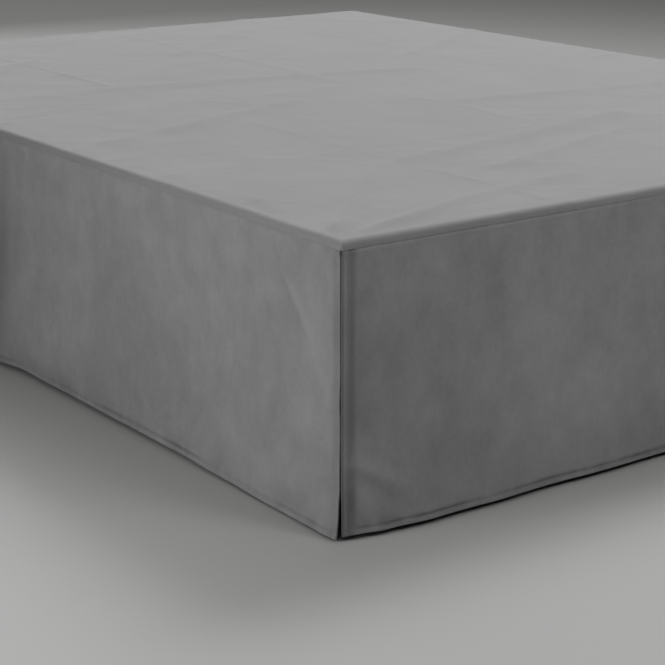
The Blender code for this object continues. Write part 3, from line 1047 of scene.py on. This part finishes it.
def summed(tree, start, *patterns):
    """A start and patterns with their shares, added up and kept between nought and one."""
    total = start
    for pattern, share in patterns:
        total = maths(tree, "MULTIPLY_ADD", pattern, share, total, clamp=pattern is patterns[-1][0])
    return total


def blend_colours(tree, share, first, second):
    node = put(tree, "ShaderNodeMix", data_type="RGBA")
    tree.links.new(share, node.inputs["Factor"])
    for socket, value in ((node.inputs[6], first), (node.inputs[7], second)):
        if isinstance(value, tuple):
            socket.default_value = value
        else:
            tree.links.new(value, socket)
    return node.outputs[2]


def raise_grain(tree, shader, height, strength, distance):
    bump = put(tree, "ShaderNodeBump")
    bump.inputs["Strength"].default_value = strength
    bump.inputs["Distance"].default_value = distance
    tree.links.new(height, bump.inputs["Height"])
    tree.links.new(bump.outputs["Normal"], shader.inputs["Normal"])


def painted(tree, name):
    return put(tree, "ShaderNodeAttribute", attribute_name=name).outputs["Fac"]


def velvet():
    """Short matt pile with a faint downward nap, soft brushed clouds, and painted shade and painted
    highlights on hems, creases, puckers and patches, partly pressed and brushed pile.
    """
    made, tree, shader = start_finish("skirt velvet", 0.92, sheen=0.35, sheen_roughness=0.45)
    patches = noise(tree, "object", (6.0, 6.0, 4.5), detail=3.0, roughness=0.55)
    clouds = noise(tree, "object", (21.0, 21.0, 15.0), detail=6.0, roughness=0.66)
    tufts = noise(tree, "object", (150.0, 150.0, 115.0), detail=3.0, roughness=0.6)
    nap = noise(tree, "object", (330.0, 330.0, 95.0), detail=3.0)
    pile = noise(tree, "object", (1500.0, 1500.0, 1100.0), detail=2.0)
    shade = summed(tree, -1.20, (patches, 0.85), (clouds, 1.4), (tufts, 0.42), (nap, 0.28), (pile, 0.42))
    colour = blend_colours(tree, shade, VELVET_DARK, VELVET_LIGHT)
    # Painted shade, partly pressed pile, darkens the velvet where the first attribute says
    colour = blend_colours(tree, painted(tree, "pressed"), colour, VELVET_SHADE_PRESSED)
    # Painted highlight, partly brushed pile, lightens the velvet where the second attribute says
    colour = blend_colours(tree, painted(tree, "brushed"), colour, VELVET_HIGHLIGHT_BRUSHED)
    tree.links.new(colour, shader.inputs["Base Color"])
    tips = maths(tree, "MULTIPLY_ADD", nap, 0.8, pile)
    raise_grain(tree, shader, tips, 0.35, 0.0005)
    return made


def thread():
    """Matt sewing thread with its twist."""
    made, tree, shader = start_finish("skirt thread", 0.7, sheen=0.1)
    twist = noise(tree, "object", (2600.0, 2600.0, 2600.0), detail=1.0)
    tree.links.new(blend_colours(tree, twist, VELVET_DARK, THREAD_GREY), shader.inputs["Base Color"])
    raise_grain(tree, shader, twist, 0.3, 0.0002)
    return made


def weave(tree, across, up, count):
    """Height of a plain weave at a place, with count threads to the metre."""
    half_turns = math.pi * count
    warp = maths(tree, "SINE", maths(tree, "MULTIPLY", across, half_turns))
    weft = maths(tree, "SINE", maths(tree, "MULTIPLY", up, half_turns))
    return maths(tree, "MULTIPLY_ADD", maths(tree, "MULTIPLY", warp, weft), 0.5, 0.5)


def split(tree, vector):
    node = put(tree, "ShaderNodeSeparateXYZ")
    tree.links.new(vector, node.inputs["Vector"])
    return node.outputs


def deck_cotton():
    """Plain-weave cotton with slubs, and the fine crumples of cloth that was packed."""
    made, tree, shader = start_finish("deck cotton", 0.88)
    place = split(tree, scaled_place(tree, "flat cloth"))
    cross = weave(tree, place["X"], place["Y"], 1100.0)
    slub = noise(tree, "flat cloth", (30.0, 700.0, 1.0), detail=2.0)
    slub_down = noise(tree, "flat cloth", (700.0, 30.0, 1.0), detail=2.0)
    patches = noise(tree, "flat cloth", (5.0, 5.0, 5.0), detail=4.0, roughness=0.6)
    shade = summed(tree, -0.65, (cross, 0.35), (slub, 0.5), (slub_down, 0.5), (patches, 0.9))
    tree.links.new(blend_colours(tree, shade, DECK_WEFT, DECK_WARP), shader.inputs["Base Color"])
    rumpled = noise(tree, "flat cloth", (4.2, 5.4, 1.0), detail=4.0, roughness=0.45)
    crumple = maths(tree, "SUBTRACT", rumpled, 0.5)
    crumple = maths(tree, "MULTIPLY", maths(tree, "ABSOLUTE", crumple), -0.020)
    height = maths(tree, "MULTIPLY_ADD", maths(tree, "MULTIPLY_ADD", slub, 0.5, cross), 0.00012, crumple)
    raise_grain(tree, shader, height, 1.0, 1.0)
    return made


def base_cover():
    """Coarse charcoal upholstery weave round the base."""
    made, tree, shader = start_finish("base cover", 0.9)
    place = split(tree, scaled_place(tree, "object"))
    normal = split(tree, put(tree, "ShaderNodeNewGeometry").outputs["Normal"])
    level = maths(tree, "GREATER_THAN", maths(tree, "ABSOLUTE", normal["Z"]), 0.7)
    upright = maths(tree, "SUBTRACT", 1.0, level)
    across = maths(tree, "MULTIPLY_ADD", place["Y"], upright, place["X"])
    up = maths(tree, "MULTIPLY_ADD", place["Y"], level, place["Z"])
    cross = weave(tree, across, up, 620.0)
    slub = noise(tree, "object", (220.0, 220.0, 220.0), detail=2.0)
    patches = noise(tree, "object", (8.0, 8.0, 8.0), detail=4.0, roughness=0.6)
    shade = summed(tree, -0.3, (cross, 0.4), (slub, 0.4), (patches, 0.8))
    tree.links.new(blend_colours(tree, shade, BASE_WEFT, BASE_WARP), shader.inputs["Base Color"])
    raise_grain(tree, shader, maths(tree, "MULTIPLY_ADD", slub, 0.4, cross), 0.5, 0.0005)
    return made


def glide_plastic():
    """Black moulded plastic, scuffed grey where it meets the floor."""
    made, tree, shader = start_finish("glide plastic", 0.45)
    place = split(tree, scaled_place(tree, "object"))
    low = maths(tree, "SUBTRACT", 1.0, maths(tree, "MULTIPLY", place["Z"], 90.0), clamp=True)
    scuffs = noise(tree, "object", (260.0, 260.0, 90.0), detail=3.0)
    share = maths(tree, "MULTIPLY", low, scuffs, clamp=True)
    tree.links.new(blend_colours(tree, share, GLIDE_BLACK, GLIDE_SCUFF), shader.inputs["Base Color"])
    rough = maths(tree, "MULTIPLY_ADD", scuffs, 0.3, 0.3)
    tree.links.new(rough, shader.inputs["Roughness"])
    raise_grain(tree, shader, noise(tree, "object", (1200.0, 1200.0, 1200.0), detail=1.0), 0.15, 0.0002)
    return made


def floor_finish():
    made, tree, shader = start_finish("floor pale", 0.6)
    patches = noise(tree, "object", (1.5, 1.5, 1.5), detail=2.0)
    tree.links.new(blend_colours(tree, patches, FLOOR_DARK, FLOOR_PALE), shader.inputs["Base Color"])
    return made


# ---- studio

def make_floor():
    clear_choice()
    bpy.ops.mesh.primitive_plane_add(size=FLOOR_SIZE, location=(0.0, 0.0, 0.0))
    floor = bpy.context.active_object
    floor.name = "floor"
    floor.data.materials.append(floor_finish())


def make_world():
    world = bpy.data.worlds.new("studio")
    world.use_nodes = True
    background = world.node_tree.nodes["Background"]
    background.inputs["Color"].default_value = WORLD_PALE
    background.inputs["Strength"].default_value = WORLD_STRENGTH
    bpy.context.scene.world = world


Softbox = namedtuple("Softbox", "name from_corner aim_from_corner size power")

SOFTBOXES = (
    Softbox("side", (-1.4, 0.2, 0.65), (0.0, 0.25, 0.2), 0.6, 9.2),
    Softbox("foot", (0.9, -1.7, 1.90), (0.7, 0.0, 0.15), 0.8, 16.1),
    Softbox("corner_floor", (-0.6, -0.6, 1.7), (-0.5, -0.5, 0.0), 0.7, 3.4),
    Softbox("over_side", (2.6, 1.4, 3.6), (0.2, 0.2, 0.0), 1.5, 150.0),
    Softbox("low_behind", (0.9, 4.9, 1.7), (0.7, 1.2, 0.4), 1.4, 65.0),
    Softbox("behind", (2.5, 7.5, 5.0), (2.5, 7.4, 0.0), 4.0, 60.0),
    Softbox("ceiling", (0.8, 1.0, 9.0), (0.8, 1.001, 0.0), 26.0, 290.0),
)


def make_lights():
    for box in SOFTBOXES:
        place = FOOT_LEFT_CORNER + Vector(box.from_corner)
        aim = FOOT_LEFT_CORNER + Vector(box.aim_from_corner)
        clear_choice()
        bpy.ops.object.light_add(type="AREA", location=place)
        light = bpy.context.active_object
        light.name = box.name + "_softbox"
        light.rotation_euler = (aim - place).to_track_quat("-Z", "Y").to_euler()
        light.data.size = box.size
        light.data.energy = box.power


def make_camera():
    clear_choice()
    turned = (math.radians(90.0 - CAMERA_PITCH), 0.0, -math.radians(CAMERA_TURN))
    bpy.ops.object.camera_add(location=FOOT_LEFT_CORNER + CAMERA_FROM_CORNER, rotation=turned)
    camera = bpy.context.active_object
    camera.name = "camera"
    camera.data.sensor_width = CAMERA_SENSOR
    camera.data.lens = CAMERA_LENS
    camera.data.clip_end = CAMERA_FAR_END
    bpy.context.scene.camera = camera


def dress_carried_nodes():
    """The base and its glides keep their shapes and take their finishes."""
    cover, plastic = base_cover(), glide_plastic()
    for name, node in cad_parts.items():
        if name == "bed_base" or name.startswith("glide"):
            node.data.materials.clear()
            node.data.materials.append(cover if name == "bed_base" else plastic)


def main():
    make_world()
    make_floor()
    make_lights()
    make_camera()
    dress_carried_nodes()
    pile, sewing = velvet(), thread()
    for cut in (LEFT_CUT, FOOT_CUT, RIGHT_CUT):
        panel = make_panel(cut, pile)
        stitches = panel_stitches(cut, sewing)
        for piece in (panel, stitches):
            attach(piece, "root")
        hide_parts(cut.name)
    deck = make_deck(deck_cotton())
    deck_hem = deck_stitches(sewing)
    for piece in (deck, deck_hem):
        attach(piece, "root")
    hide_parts("deck")


main()
